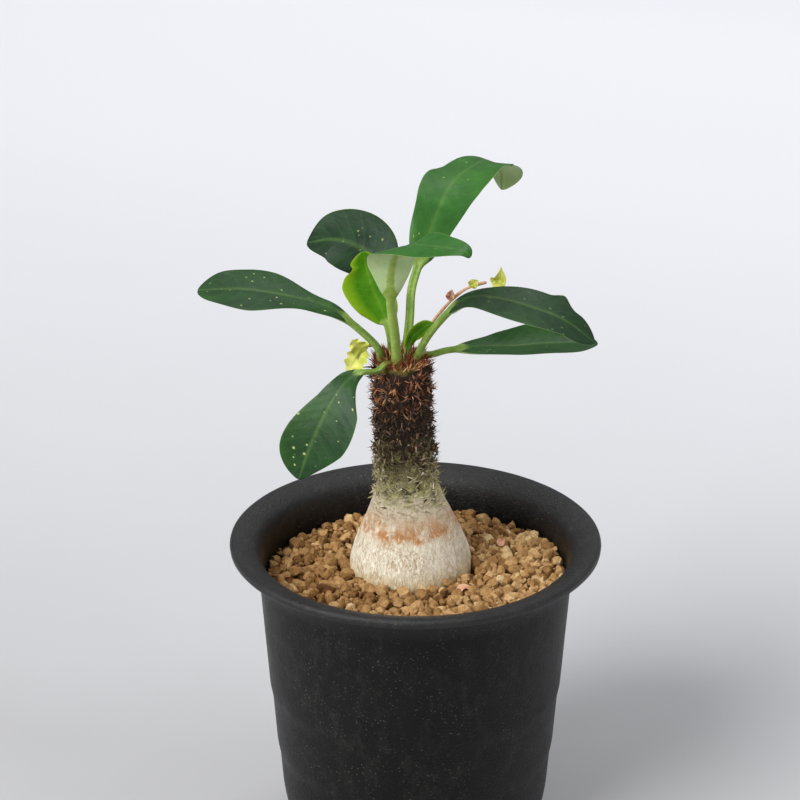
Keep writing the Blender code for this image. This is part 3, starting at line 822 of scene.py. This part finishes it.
def makeBristles():
    generator = np.random.default_rng(bristle["seed"])
    normal, uniform = generator.normal, generator.uniform
    upward = np.array([0.0, 0.0, 1.0])
    parts = []

    def riseOf(height):
        return (height - soilLevel) / (crownHeight - soilLevel)

    def grow(height, turn, length, width, tilt, twist, tone, sink=1.3 * mm):
        radial = np.array([math.cos(turn), math.sin(turn), 0.0])
        around = np.array([-math.sin(turn), math.cos(turn), 0.0])
        level = radial * math.cos(tilt) * math.cos(twist) + around * math.sin(twist)
        out = unit(level + upward * math.sin(tilt))
        up = upward * math.cos(tilt) - radial * math.sin(tilt) + around * normal(0, 0.5)
        up = unit(up - out * (up @ out))
        reach = float(stemRadius(height)) - sink
        root = np.array([float(stemCentre(height)), stemFoot.y, height]) + radial * reach
        shape = bristleShape(root, out, up, length, width, length * normal(0.2, 0.45))
        parts.append((shape, float(np.clip(tone, 0, 1)), riseOf(height)))

    each, lengths, widths = bristle["tufts"]
    for height, turn in knobPlaces():
        strength = float(blend(0.34, 0.62, riseOf(height)))
        if generator.random() > 0.4 + strength:
            continue
        knobTone = normal(0.42, 0.16)
        for k in range(int(each * (0.25 + 0.75 * strength))):
            spin = uniform(0, 2 * math.pi)
            rim = uniform(0.4, 1.7) * mm
            length = uniform(*lengths) * mm * (0.45 + 0.55 * strength)
            grow(height + rim * math.sin(spin) * 0.8, turn + rim * math.cos(spin) / stem["radius"], length,
                 uniform(*widths) * mm, math.sin(spin) * 0.7 + normal(0.2, 0.35),
                 math.cos(spin) * 0.75 + normal(0, 0.3), normal(knobTone, 0.24))
    count, lengths, widths = bristle["flakes"]   # flat and pale, where the bristles have worn away
    for k in range(count):
        height = soilLevel + uniform(21, 38) * mm
        grow(height, uniform(0, 2 * math.pi), uniform(*lengths) * mm, uniform(*widths) * mm, normal(0.1, 0.3),
             generator.choice([-1.1, 1.1]), normal(0.66, 0.28), 0.3 * mm)
    count, lengths, widths = bristle["loose"]
    for k in range(count):
        height = uniform(soilLevel + 28 * mm, crownHeight - 0.6 * mm)
        grow(height, uniform(0, 2 * math.pi), uniform(*lengths) * mm, uniform(*widths) * mm, normal(0.3, 0.7),
             normal(0, 0.7), normal(0.62, 0.22))
    bristleMesh("stemBristles", bristleFinish(), parts)

    # fine red-brown hairs standing among the leaf bases
    count, lengths, widths = bristle["hairs"]
    hairs = []
    for k in range(count):
        turn = uniform(0, 2 * math.pi)
        cosine, sine = math.cos(turn), math.sin(turn)
        far = 0.86 * math.sqrt(uniform(0.01, 0.95))   # as a share of the radius
        dome = 2.6 * mm * (1 - far ** 2) - 0.6 * mm
        root = np.array(crown) + np.array([cosine, sine, 0.0]) * stem["radius"] * far + upward * dome
        lean = 0.1 + 0.7 * far
        out = unit(np.array([cosine * lean, sine * lean, 1.0]) + normal(0, 0.35, 3))
        up = unit(np.cross(out, normal(size=3)))
        length = uniform(*lengths) * mm
        shape = bristleShape(root, out, up, length, uniform(*widths) * mm, length * normal(0, 0.25))
        hairs.append((shape, float(uniform(0, 1)) ** 1.3, 1.0))
    bristleMesh("crownHairs", hairFinish(), hairs)


# leaves

# path: steps from the seat in mm; left and right: how wide each half is along the blade;
# waves: (side, mm, count, start); notches and puckers: (place, side, size, depth)
leaves = {
    "leaf_left": {
        "seat": (-0.60, -0.19), "lift": 1.6,
        "path": [(-2, -2, 5.5), (-11, -2.5, 14), (-18, -2.5, 17.5), (-28, -2.5, 20), (-39, -2.5, 21.5),
                 (-50.5, -2.5, 21)],
        "facing": [(0.5, -0.4, 0.8), (0.2, -0.25, 0.9), (0, -0.12, 1)],
        "width": 1.0, "start": 0.26, "taper": 1.9, "stout": 0.8, "cup": 0.12, "power": 0.56,
        "left": [1, 0.8, 0.9, 1.1, 1.1], "right": [1, 0.6, 0.75, 0.95, 0.95],
        "waves": [(1, 0.6, 2.3, 0.1), (-1, 0.5, 2.0, 0.4)], "tone": 0.2, "seedling": 3.1, "freckled": 0.8,
    },
    "leaf_low_left": {
        "seat": (-0.49, -0.60), "lift": 1.8,
        "path": [(-2.5, -4, -0.5), (-7, -9, 1), (-11, -13, -0.5), (-15.5, -16, -6.5), (-20, -18, -16),
                 (-23.5, -19, -26.5)],
        "facing": [(0, -0.5, 0.8), (-0.3, -0.7, 0.6), (-0.25, -0.95, 0.2)],
        "width": 0.87, "start": 0.22, "taper": 1.55, "stout": 0.62, "cup": 0.15,
        "left": [1, 0.6, 1.45, 1.1, 0.5], "right": [1, 0.7, 0.65, 0.9, 1.2],
        "waves": [(1, 0.4, 1.6, 0.0), (-1, 0.5, 1.5, 0.3)], "tone": 0.18, "seedling": 7.4, "freckled": 0.95,
    },
    "leaf_back_left": {
        "seat": (-0.26, 0.60), "lift": 0.9,
        "path": [(-1, 2, 7), (-2, 5, 14), (-4, 9, 21.5), (-9, 13, 26), (-16.5, 16, 27.5), (-24.5, 17, 26)],
        "facing": [(-0.5, -0.6, 0.5), (-0.3, -0.6, 0.7), (0, -0.4, 0.9)],
        "width": 1.0, "start": 0.42, "taper": 1.2, "stout": 0.95, "cup": 0.2,
        "left": [1, 1, 1, 0.95, 0.95], "right": [1, 1, 1.15, 1.0, 0.95],
        "waves": [(1, 0.5, 1.4, 0.2)], "tone": 0.05, "seedling": 12.2, "freckled": 0.5,
    },
    "leaf_front": {
        "seat": (-0.14, -0.42), "lift": 1.0,
        "path": [(-0.5, -3.5, 10), (-1.5, -7.5, 20.5), (-1.5, -11.5, 29.8), (-0.2, -16.5, 38.5),
                 (3.6, -22.2, 42.8), (9.6, -27.2, 44.2), (15, -30.5, 44.7), (18.2, -32.0, 44.5),
                 (19.2, -32.6, 43.2)],
        "facing": [(0, 1, 0), (0, 0.9, 0.3), (0.1, -0.1, 1), (0.1, -0.3, 1)],
        "width": 0.75, "start": 0.35, "taper": 1.3, "stout": 1.0, "cup": 0.15,
        "left": [1, 0.95, 0.9, 0.95, 1.0, 1.0, 0.85, 0.8, 1.2],
        "right": [1, 0.9, 0.92, 1.08, 1.2, 1.1, 0.85, 0.6, 0.9],
        "waves": [(1, 0.6, 2.2, 0.0), (-1, 0.35, 2.4, 0.5)],
        "puckers": [(0.45, -1, 0.25, 0.8), (0.60, 1, 0.24, -2.4)],
        "tone": 0.8, "seedling": 2.6, "freckled": 0.15,
    },
    "leaf_young": {
        "seat": (-0.30, 0.16), "lift": 0.6,
        "path": [(-0.5, 0.5, 6), (-2.5, 2.5, 13), (-5, 4.5, 18.5), (-7, 6.5, 24), (-8, 7.5, 29)],
        "facing": [(0, -1, 0.2), (0, -1, 0.1)],
        "width": 0.55, "start": 0.32, "taper": 1.1, "stout": 0.7, "cup": 0.2, "power": 0.5,
        "left": [1, 1, 1.25, 1.45, 0.9],
        "notches": [(0.80, -1, 0.04, 0.34)],
        "waves": [(1, 0.4, 1.5, 0.0)], "tone": 0.5, "seedling": 9.0, "freckled": 0.0, "finish": "young",
    },
    "leaf_tall": {
        "seat": (0.14, 0.51), "lift": 0.8,
        "path": [(1, 1.5, 10), (1.5, 4.5, 17.5), (3.5, 7.5, 24), (6, 10.5, 31), (8.5, 14.5, 36.5),
                 (11, 20.5, 40.4), (14.5, 27.5, 42.5), (18, 34.5, 42.9), (22.2, 40.5, 43.1), (27, 43, 40.2),
                 (27.5, 43.5, 33.5)],
        "facing": [(0, -1, 0.3), (0, -1, 0.25), (0, -1, 0.2), (0, -0.95, 0.3), (0, -0.9, 0.4),
                   (-0.2, -0.6, 0.62), (-0.38, -0.3, 0.85), (0.03, 0.10, 0.77), (0.35, 0.6, 0.5)],
        "width": 0.9, "start": 0.3, "taper": 1.1, "stout": 0.92, "cup": 0.12,
        "left": [1, 0.95, 0.9, 0.88, 0.85, 0.9, 0.9, 0.95, 1.0],
        "right": [1, 0.87, 0.78, 0.82, 0.9, 1.05, 1.3, 1.7, 1.5],
        "waves": [(1, 0.5, 2.4, 0.2), (-1, 0.4, 2.0, 0.1)],
        "tone": 0.75, "seedling": 5.5, "freckled": 0.6,
    },
    "leaf_right_upper": {
        "seat": (0.42, -0.19), "lift": 1.2,
        "path": [(3, -2.5, 7.5), (7.5, -4.5, 14.5), (12, -7.5, 20), (17, -10.5, 23), (24.5, -14.5, 23.5),
                 (32.5, -18.5, 22.5), (40.5, -21.5, 20), (48, -24.5, 15)],
        "facing": [(-0.5, -0.5, 0.7), (0, -0.2, 1), (0.15, -0.05, 1)],
        "width": 0.95, "start": 0.3, "taper": 1.3, "stout": 0.8, "cup": 0.1,
        "left": [1, 0.7, 0.6, 0.85, 1.0], "right": [1, 1, 1, 1, 1, 1.02, 1.05, 1.15, 1.6],
        "notches": [(0.70, -1, 0.045, -0.40), (0.80, -1, 0.03, 0.10)],
        "waves": [(-1, 0.4, 1.5, 0.6), (1, 0.3, 1.4, 0.0)], "tone": 0.12, "seedling": 14.3, "freckled": 0.3,
    },
    "leaf_right_lower": {
        "seat": (0.58, 0.21), "lift": 1.7,
        "path": [(3, 0, 0), (8, 1, 1), (17, 3, 1), (26.5, 5, 0.5), (36.5, 7, 0.5), (50, 10, -0.5)],
        "facing": [(0, -0.2, 0.9), (0, -0.15, 1)],
        "width": 1.0, "start": 0.2, "taper": 1.4, "stout": 0.72, "cup": 0.3,
        "left": [1, 0.6, 0.6, 0.7, 0.8], "right": [1, 0.9, 0.95, 1, 1],
        "waves": [(1, 0.3, 1.8, 0.2)], "tone": 0.35, "seedling": 19.8, "freckled": 0.35,
    },
    "leaf_bud": {
        "seat": (0.10, 0.02), "lift": 0.7,
        "path": [(1.5, -1, 6.5), (3.3, -1.5, 9), (5.5, -2, 11), (8, -2.5, 12)],
        "facing": [(0.3, -0.9, 0.3), (0.4, -0.8, 0.4)],
        "width": 0.20, "start": 0.25, "taper": 1.3, "stout": 0.6, "cup": 0.3,
        "tone": 0.5, "seedling": 1.0, "freckled": 0.0, "finish": "young",
    },
}
bladeUsual = {   # what holds where a leaf or bract doesn't say otherwise
    "power": 0.65, "frill": 0, "left": [1], "right": [1], "waves": [], "notches": [], "puckers": [],
    "tone": 0.4, "seedling": 0.0, "freckled": 0.5, "finish": "mature",
}
leafBuild = {
    "width": 22 * mm, "thickness": 1.0 * mm, "petiole": 1.32 * mm, "rows": 76,
    "sides": {"mature": 36, "young": 28}, "sunk": 7, "swelling": 0.3,   # sunk: rows inside the crown
    "groove": 0.30 * mm, "keel": 0.55 * mm, "channel": 0.45,   # midrib above, below and on the petiole
}


def leafFinish(kind):
    young = kind == "young"
    material = newMaterial(kind + "Leaf", Specular_IOR_Level=0.14 if young else 0.22)
    place = objectPlace()
    across, along, rib = attribute("across"), attribute("along"), attribute("rib")
    isUpper = fade(attribute("upper"), 0.46, 0.54)
    sideways = calc("ABSOLUTE", across)
    # side veins run out and forward from the midrib
    line = plus(times(along, 15.0), times(sideways, -1.8))
    wave = calc("SINE", times(plus(line, times(noiseOf(place, 110, 3), 1.1)), 6.2832))
    midrib = fade(plus(sideways, times(noiseOf(place, 300, 3), 0.04)), 0.03, 0.085, 1.0, 0.0)
    mottle = noiseOf(place, 160, 6, 0.65)
    fine = noiseOf(place, 1100, 4, 0.6)
    if young:
        inner = ramp(mottle, [(0.3, (46, 96, 0)), (0.7, (72, 124, 4))])
        # lighter towards the margin: partly the margin's own paler green, partly painted light shining
        # through the thin edge
        top = layered(inner, (fade(sideways, 0.45, 0.95, 0.0, 0.8), (126, 158, 16)))
        under = ramp(mottle, [(0.3, (112, 150, 24)), (0.7, (146, 172, 44))])
        ribTint, rim, vein = (120, 162, 28), (172, 190, 50), (96, 144, 16)
    else:
        deep = ramp(mottle, [(0.25, (13, 32, 19)), (0.55, (19, 43, 23)), (0.8, (28, 56, 30))])
        lively = ramp(mottle, [(0.25, (38, 88, 26)), (0.55, (50, 104, 34)), (0.8, (70, 124, 48))])
        patchy = times(fade(noiseOf(place, 45, 3), 0.5, 0.68), 0.25)
        top = layered(deep, (attribute("tone"), lively), (patchy, (66, 116, 34)))
        under = ramp(mottle, [(0.3, (152, 180, 118)), (0.7, (184, 204, 150))])
        ribTint, rim, vein = (92, 134, 66), (142, 164, 96), (62, 106, 54)
    topRibbed = layered(top, (times(fade(wave, 0.80, 0.98), 0.10), vein), (times(midrib, 0.18), ribTint))
    underRibbed = layered(under, (times(midrib, 0.5), (176, 194, 128)))
    # pale specks, laid out on the blade itself
    flat = put("ShaderNodeCombineXYZ", {"X": across, "Y": times(along, 6.5),
                                        "Z": attribute("seedling")}).outputs["Vector"]
    worn = plus(swing(fine, 0.14), swing(noiseOf(flat, 2.6, 1), 0.3, 0.45))
    dots = fade(plus(cellsOf(flat, 3.4), worn), 0.10, 0.15, 1.0, 0.0)
    freckles = times(times(dots, fade(noiseOf(flat, 1.1, 2), 0.43, 0.53)), attribute("freckled"))
    blade = layered(underRibbed, (isUpper, topRibbed), (times(fade(sideways, 0.965, 0.99), 0.6), rim),
                    (times(freckles, 0.8), (176, 190, 116)))
    stalkUnder = ramp(mottle, [(0.3, (116, 144, 52)), (0.7, (150, 172, 84))])
    stalkTop = ramp(mottle, [(0.3, (96, 126, 48)), (0.7, (134, 162, 76))])
    stalk = layered(stalkUnder, (isUpper, stalkTop),
                    (fade(noiseOf(place, 700, 3), 0.5, 0.75, 0.0, 0.4), (176, 192, 118)),
                    (fade(along, 0.0, 0.05, 0.55, 0.0), (120, 76, 44)))
    offRib = plus(calc("SUBTRACT", sideways, rib), 0.5)
    onBlade = times(isUpper, fade(rib, 0.22, 0.66, 0.94, 0.0))
    wire(mixOf(calc("MAXIMUM", fade(offRib, 0.42, 0.54), onBlade), stalk, blade), "Base Color")
    wire(fade(mottle, 0.3, 0.7, 0.40, 0.54), "Roughness")
    pebbled = bumpOf(noiseOf(place, 240, 4), 0.28, 0.0010, bumpOf(wave, 0.05, 0.0003))
    wire(bumpOf(fine, 0.15, 0.0002, pebbled), "Normal")
    return material


def seatPoint(values):
    across, back = values["seat"]
    return np.array(crown) + np.array([across * stem["radius"], back * stem["radius"], values["lift"] * mm])


def makeBlade(name, points, values, sizes, sides, rows, root=None):
    values = {**bladeUsual, **values}
    halfWidth, petiole, thickness = sizes
    obj = pullTube(name, sides, rows)
    sunk = 0 if root is None else leafBuild["sunk"]   # rows that run on down into the crown
    path = smoothPath(points, rows + 1 - sunk)
    shares = np.linspace(0, 1, rows + 1 - sunk)
    swelling = np.zeros(rows + 1)
    if sunk:
        down = np.linspace(0, 1, sunk, endpoint=False)[:, None]
        path = np.concatenate([root * (1 - down) + path[0] * down, path])
        for smoothing in range(2):
            path[1:sunk + 4] = (path[:sunk + 3] + path[1:sunk + 4] + path[2:sunk + 5]) / 3
        shares = np.concatenate([np.zeros(sunk), shares])
        swelling = np.exp(-np.maximum(np.arange(rows + 1) - sunk, 0) / 3.0)
    forward = unit(np.gradient(path, axis=0))
    facing = spread(values["facing"], shares)
    facing = unit(facing - forward * np.sum(facing * forward, axis=1)[:, None])
    side = np.cross(forward, facing)
    grown = np.clip((shares - values["start"]) / (1 - values["start"]), 0, 1)
    outline = np.sin(math.pi * np.minimum(grown, 0.997) ** values["taper"]) ** values["power"]
    neck = petiole * (1 + leafBuild["swelling"] * swelling)
    half = np.maximum(halfWidth * outline + neck * (1 - blend(0, 0.4, grown)), 0.03 * halfWidth)

    # from here on, one value for each point
    row, turn = tubePlaces(obj, sides)
    grown, half = grown[row], half[row]
    angle = 2 * math.pi * turn / sides
    upper = angle < math.pi
    even = np.where(upper, 1 - 2 * angle / math.pi, -1 + 2 * (angle - math.pi) / math.pi)
    even = np.sign(even) * np.abs(even) ** 1.25
    flat = blend(0.0, 0.5, grown)
    across = np.cos(angle) * (1 - flat) + even * flat
    hand, outward = np.sign(across), np.abs(across)
    top = np.where(outward > 0.999, 0.0, np.where(upper, 1.0, -1.0))
    thin = thickness / 2 * (0.28 + 0.72 * (1 - outward) ** 1.3) * np.sqrt(np.clip(1 - outward ** 8, 0, 1))
    groove = leafBuild["groove"] * np.exp(-(across / 0.07) ** 2) * (top > 0) * (1 - 0.6 * grown)
    keel = leafBuild["keel"] * np.exp(-(across / 0.10) ** 2) * (top < 0) * (1 - 0.7 * grown)
    ribbed = thin * top - groove - keel
    channel = -leafBuild["channel"] * petiole * np.exp(-(across / 0.5) ** 2) * (top > 0)
    depth = (np.sin(angle) * neck[row] + channel) * (1 - flat) + ribbed * flat
    scale = np.where(across < 0, spread(values["left"], shares)[row], spread(values["right"], shares)[row])
    scale = 1 + (scale - 1) * blend(0, 0.25, grown)
    scale = scale * (1 + values["frill"] * np.sin(2 * math.pi * (4.5 * grown + 0.3 * hand)))
    for place, which, size, bite in values["notches"]:
        scale = scale * (1 - bite * np.exp(-((grown - place) / size) ** 2) * (hand == which))
    lift = values["cup"] * outward ** 1.6 * half * blend(0, 0.35, grown)
    for which, size, count, phase in values["waves"]:
        ripple = size * mm * np.sin(2 * math.pi * (count * grown + phase)) * outward ** 2 * (hand == which)
        lift = lift + ripple * blend(0, 0.3, grown) * blend(0, 0.2, 1 - grown)
    for place, which, size, rise in values["puckers"]:
        lift = lift + rise * mm * np.exp(-((grown - place) / size) ** 2) * outward ** 2 * (hand == which)
    level = side[row] * (across * half * scale)[:, None]
    out = path[row] + level + facing[row] * (lift + depth)[:, None]
    setCoords(obj, out)
    faceOut(obj)
    stalky = petiole * np.where(top < 0, 0.9, 0.8) * (1 - 0.8 * grown) / np.maximum(half, petiole)
    rib = np.where(grown <= 0.0, 1.5, stalky + 0.6 * (1 - blend(0.0, 0.12, grown)))
    face = np.clip(0.5 + 0.5 * top * (1 - outward ** 20), 0, 1)
    for name, amounts in (("rib", rib), ("across", across), ("along", shares[row]), ("upper", face)):
        setAttribute(obj, name, amounts)
    for name in ("tone", "seedling", "freckled"):
        setAttribute(obj, name, np.full(len(out), values[name]))
    subdivide(obj, 1)
    return obj


def makeLeaves():
    finishes = {"mature": leafFinish("mature"), "young": leafFinish("young")}
    for node, values in leaves.items():
        kind = values.get("finish", "mature")
        seat = seatPoint(values)
        points = [seat] + [seat + np.array(step) * mm for step in values["path"]]
        root = np.array(crown) + (seat - np.array(crown)) * (0.42, 0.42, 0) + (0, 0, 0.4 * mm)
        sizes = (values["width"] * leafBuild["width"] / 2, values["stout"] * leafBuild["petiole"],
                 leafBuild["thickness"])
        obj = makeBlade(node + "_blade", points, values, sizes, leafBuild["sides"][kind],
                        leafBuild["rows"], root)
        slot = "young_leaf" if kind == "young" else "leaf"
        finishPiece(obj, finishes[kind], slot, node, smoothBelow=70)
        print("leaf done:", node)


# flower stalks and bracts

stalks = {
    "left_flower_stalk": {"seat": (-0.65, 0.30), "lift": 0.8,
                          "path": [(0, -2.5, 2), (-2, -3.5, 4.5), (-3.5, -4.5, 5)]},
    "right_flower_stalk": {"seat": (0.49, 0.60), "lift": 0.8,
                           "path": [(3, -3, 8.5), (7.5, -5, 15.5), (11.5, -7, 20.5), (15, -8, 23),
                                    (19, -9, 24.5)]},
}
stalkBuild = {"radius": 0.45 * mm, "ripple": 0.12, "sides": 16, "rows": 32}
# the stalk each stands on, its path from there, its facing and half its width in mm
bracts = {
    "left_bract_upper": ("left_flower_stalk", [(-4.4, -5.6, 3.6), (-6.2, -6.8, 5.8), (-7.9, -7.6, 8.0)],
                         (-0.3, -0.9, 0.4), 2.9),
    "left_bract_lower": ("left_flower_stalk", [(-4.4, -5.2, 4.6), (-6.8, -6.6, 1.4), (-9.0, -6.8, -2.4)],
                         (-0.3, -0.9, 0.1), 3.0),
    "right_bract_low": ("right_flower_stalk", [(8.6, -7.2, 18.6), (9.2, -7.8, 20.4), (9.5, -8.2, 22.0)],
                        (-0.2, -1.0, 0.2), 1.3),
    "right_bract_middle": ("right_flower_stalk", [(14.4, -9.4, 23.4), (15.4, -9.9, 24.5),
                                                  (16.6, -10.1, 25.4)], (0.1, -1.0, 0.3), 1.5),
    "right_bract_pointed": ("right_flower_stalk", [(20.6, -9.2, 23.8), (22.4, -9.4, 25.6),
                                                   (22.8, -9.4, 29.2)], (0.2, -1.0, 0.1), 2.3),
    "right_bract_end": ("right_flower_stalk", [(20.4, -9.6, 23.9), (22.2, -9.8, 24.2), (24.2, -9.8, 25.0)],
                        (0.0, -1.0, 0.4), 1.3),
}
bractBuild = {
    "petiole": 0.25 * mm, "thickness": 0.5 * mm, "sides": 24, "rows": 20,
    "usual": {"start": 0.0, "taper": 0.85, "cup": 0.35, "waves": [(1, 0.35, 2.6, 0.1), (-1, 0.35, 2.2, 0.5)]},
    "pointed": {"taper": 0.5, "power": 1.1, "waves": []},
    "left": {"taper": 0.8, "frill": 0.16, "waves": [(1, 0.8, 3.2, 0.1), (-1, 0.8, 2.8, 0.5)]},
}
fallen = {"fallen_bract_front": (0.9, 0.3), "fallen_bract_right": (0.2, 1.0)}   # which way each lies
fallenBuild = {
    "reach": 2.4 * mm, "halfWidth": 1.3 * mm, "thickness": 0.45 * mm,
    "usual": {"facing": [(0.1, -0.2, 1), (-0.2, -0.3, 1)], "start": 0.0, "taper": 0.9, "cup": 0.5,
              "waves": [(1, 0.4, 2.2, 0.2)]},
}


def mottledFinish(name, roughness, scale, stops, strength, distance):
    material = newMaterial(name, Roughness=roughness)
    mottle = noiseOf(objectPlace(), scale, 4)
    wire(ramp(mottle, stops), "Base Color")
    wire(bumpOf(mottle, strength, distance), "Normal")
    return material


def stalkFinish():
    return mottledFinish("flowerStalk", 0.5, 500, [(0.3, (176, 122, 92)), (0.6, (208, 166, 130)),
                                                   (0.8, (206, 196, 122))], 0.3, 0.3 * mm)


def bractFinish():
    return mottledFinish("bract", 0.55, 420, [(0.25, (160, 172, 38)), (0.5, (198, 200, 84)),
                                              (0.75, (222, 216, 130))], 0.4, 0.4 * mm)


def dryFinish():
    return mottledFinish("dryBract", 0.8, 600, [(0.3, (150, 98, 74)), (0.6, (206, 156, 126)),
                                                (0.8, (226, 190, 160))], 0.5, 0.4 * mm)


def makeStalk(name, path):
    sides, rows = stalkBuild["sides"], stalkBuild["rows"]
    path = smoothPath(path, rows + 1)
    obj = pullTube(name, sides, rows)
    row, turn = tubePlaces(obj, sides)
    forward = unit(np.gradient(path, axis=0))
    side = unit(np.cross(forward, (0.2, 0.9, 0.1)))
    other = np.cross(forward, side)
    angle = 2 * math.pi * turn / sides
    radius = stalkBuild["radius"] * (1 + stalkBuild["ripple"] * np.sin(row * 0.9))
    ring = side[row] * (radius * np.cos(angle))[:, None] + other[row] * (radius * np.sin(angle))[:, None]
    setCoords(obj, path[row] + ring)
    faceOut(obj)
    subdivide(obj, 1)
    return obj


def makeFlowers():
    reddish, yellow, dry = stalkFinish(), bractFinish(), dryFinish()
    for node, values in stalks.items():
        seat = seatPoint(values)
        obj = makeStalk(node + "_line", [seat] + [seat + np.array(step) * mm for step in values["path"]])
        finishPiece(obj, reddish, "stalk", node)
    for node, (stalk, steps, facing, halfWidth) in bracts.items():
        seat = seatPoint(stalks[stalk])
        values = {**bractBuild["usual"], "facing": [facing, facing]}
        if node.endswith("pointed"):
            values.update(bractBuild["pointed"])
        elif node.startswith("left"):
            values.update(bractBuild["left"])
        sizes = (halfWidth * mm, bractBuild["petiole"], bractBuild["thickness"])
        points = [seat + np.array(step) * mm for step in steps]
        obj = makeBlade(node + "_sheet", points, values, sizes, bractBuild["sides"], bractBuild["rows"])
        finishPiece(obj, dry if node == "right_bract_low" else yellow, "bract", node)


def makeFallen(grains):
    dry = dryFinish()
    for node, heading in fallen.items():
        low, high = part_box(node)
        middle = (np.array(low) + np.array(high)) / 2
        near = [z + r * 0.8 for x, y, z, r in grains if math.hypot(x - middle[0], y - middle[1]) < 2 * mm]
        middle[2] = max(near) + 0.2 * mm
        reach = unit(np.array([*heading, 0.0])) * fallenBuild["reach"]
        points = [middle - reach, middle + np.array([0, 0, 0.5 * mm]), middle + reach]
        sizes = (fallenBuild["halfWidth"], bractBuild["petiole"], fallenBuild["thickness"])
        obj = makeBlade(node + "_sheet", points, fallenBuild["usual"], sizes, bractBuild["sides"],
                        bractBuild["rows"])
        finishPiece(obj, dry, "dry_bract", node)


makeCamera()
makeStudio()
print("camera and studio ready")
makePot()
print("pot done")
makeBed()
grains = makeGrains()
print("soil done")
makeStem()
makeBristles()
print("stem done")
makeLeaves()
makeFlowers()
makeFallen(grains)
print("flowers done")
